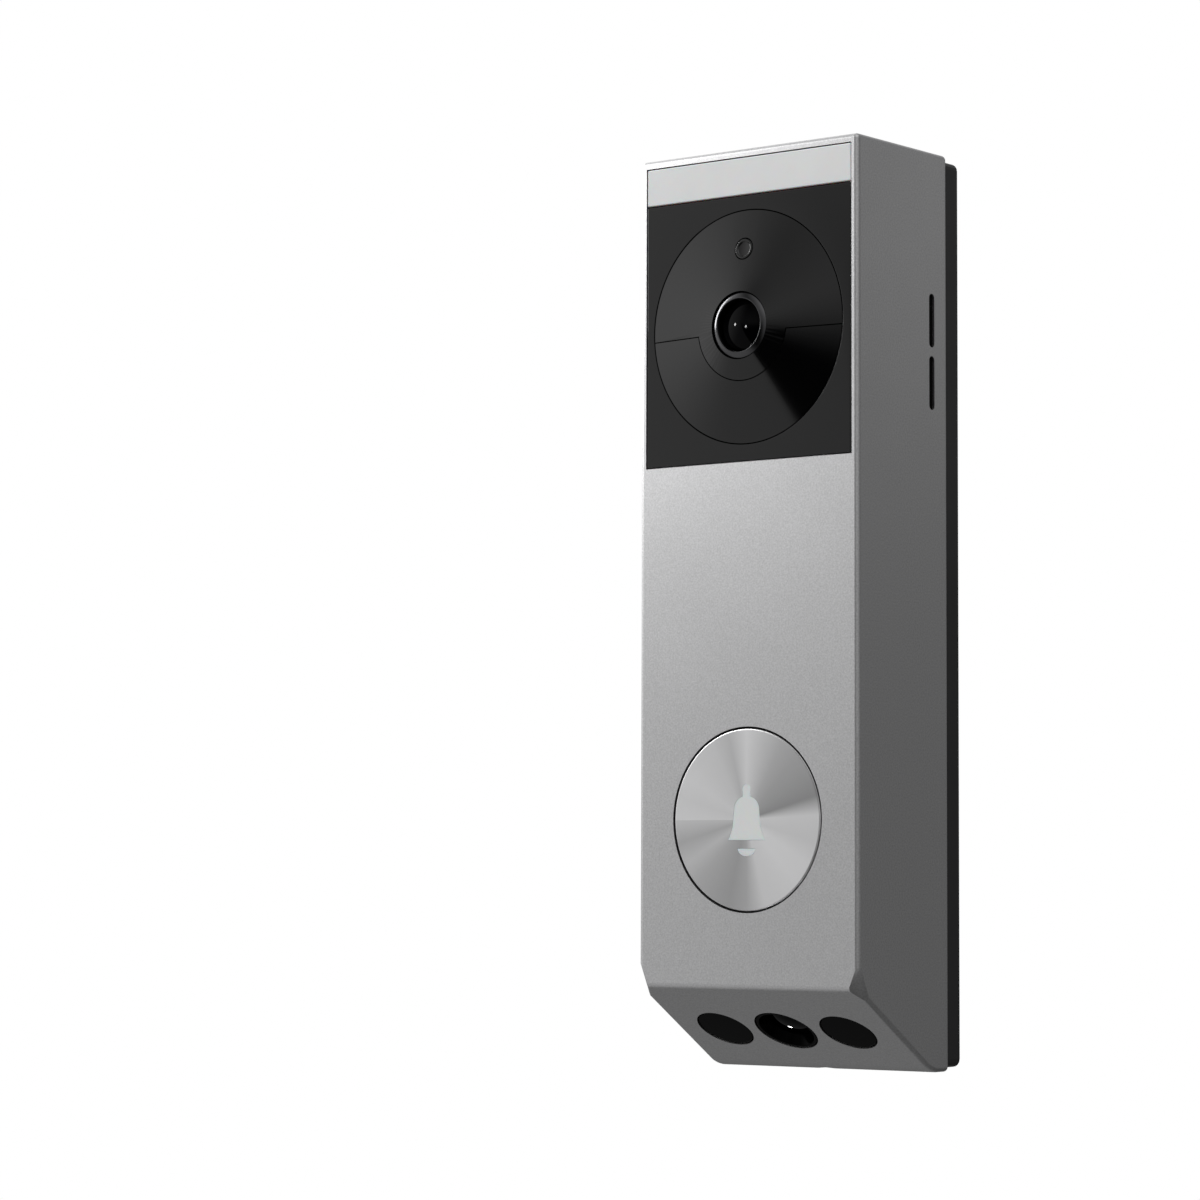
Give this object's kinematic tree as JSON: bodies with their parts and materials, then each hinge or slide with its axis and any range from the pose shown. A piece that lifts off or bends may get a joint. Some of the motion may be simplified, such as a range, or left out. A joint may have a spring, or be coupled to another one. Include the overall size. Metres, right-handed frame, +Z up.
{
  "type": "video doorbell",
  "caption": "Slim upright battery video doorbell with a domed camera, a round bell push, a sloped underside with a second lens, and a wall plate it slides off.",
  "frame": {"origin": "centre of the wall plate's back face, on the wall", "axes": "+X right when facing the door, +Y into the wall, +Z up along the body"},
  "size_m": [0.05, 0.0362, 0.1694],
  "materials": {
    "satin_metal": "satin anodised, fine grain",
    "spun_metal": "radially spun",
    "light_diffuser": "milky diffuser",
    "window_black": "gloss",
    "dish_black": "semi-gloss",
    "motion_cover_black": "semi-gloss, infrared-clear",
    "lens_metal": "satin black",
    "lens_glass": "coated, very glossy",
    "bell_white": "translucent white",
    "black_plastic": "fine texture",
    "dark_plastic": "fine texture",
    "rubber": "matte",
    "acoustic_mesh": "woven",
    "steel": "plated",
    "brass": "plated",
    "circuit_board": "solder mask",
    "sensor_chip": "gloss",
    "battery_wrap": "shrink wrap",
    "led_clear": "clear"
  },
  "bodies": {
    "wall_bracket": {"mounting_plate": "black_plastic"},
    "doorbell_body": {"front_housing": "satin_metal", "rear_cover": "dark_plastic", "housing_seal": "rubber", "lock_screw": "steel", "light_bar": "light_diffuser", "light_bar_board": "circuit_board", "camera_window": "window_black", "camera_dish": "dish_black", "motion_sensor_cover": "motion_cover_black", "light_sensor_window": "window_black", "lens_ring": "lens_metal", "lens_glass": "lens_glass", "lens_barrel": "black_plastic", "camera_holder": "black_plastic", "image_sensor": "sensor_chip", "camera_board": "circuit_board", "sensor_board": "circuit_board", "motion_sensor": "steel", "light_sensor": "sensor_chip", "microphone": "steel", "button_seal": "rubber", "button_board": "circuit_board", "button_switch": "steel", "button_spring": "steel", "lower_lens_ring": "black_plastic", "lower_lens_glass": "lens_glass", "lower_lens_barrel": "black_plastic", "lower_camera_board": "circuit_board", "lower_window_left": "window_black", "lower_window_right": "window_black", "infrared_led_left": "led_clear", "infrared_led_right": "led_clear", "main_board": "circuit_board", "processor_shield": "steel", "wifi_antenna": "brass", "battery_cell_left": "battery_wrap", "battery_cell_right": "battery_wrap", "battery_tray": "dark_plastic", "speaker": "black_plastic", "speaker_mesh": "acoustic_mesh", "usb_port": "steel", "reset_switch": "steel", "terminal_block": "black_plastic", "terminal_screw_left": "brass", "terminal_screw_right": "brass", "rear_cover_screw_1": "steel", "rear_cover_screw_2": "steel", "rear_cover_screw_3": "steel", "rear_cover_screw_4": "steel", "rear_cover_screw_5": "steel", "rear_cover_screw_6": "steel"},
    "bell_push": {"bell_button": "spun_metal", "bell_symbol": "bell_white", "button_carrier": "dark_plastic"},
    "usb_flap": {"usb_cover": "rubber"},
    "reset_push": {"reset_button": "dark_plastic"}
  },
  "joints": [
    {"name": "body_lift", "type": "slide", "parent": "wall_bracket", "child": "doorbell_body", "axis": [0, 0, 1], "range_m": [0, 0.006]},
    {"name": "bell_press", "type": "slide", "parent": "doorbell_body", "child": "bell_push", "axis": [0, 1, 0], "range_m": [0, 0.0004], "stiffness_N_per_m": 1500, "springref_m": -0.001, "deforming": ["button_spring"]},
    {"name": "usb_cover_hinge", "type": "hinge", "parent": "doorbell_body", "child": "usb_flap", "pos_m": [-0.008, -0.0052, 0.0294], "axis": [-1, 0, 0], "range_deg": [0, 95]},
    {"name": "reset_press", "type": "slide", "parent": "doorbell_body", "child": "reset_push", "axis": [0, -1, 0], "range_m": [0, 0.0004], "stiffness_N_per_m": 1200, "springref_m": -0.0004}
  ]
}
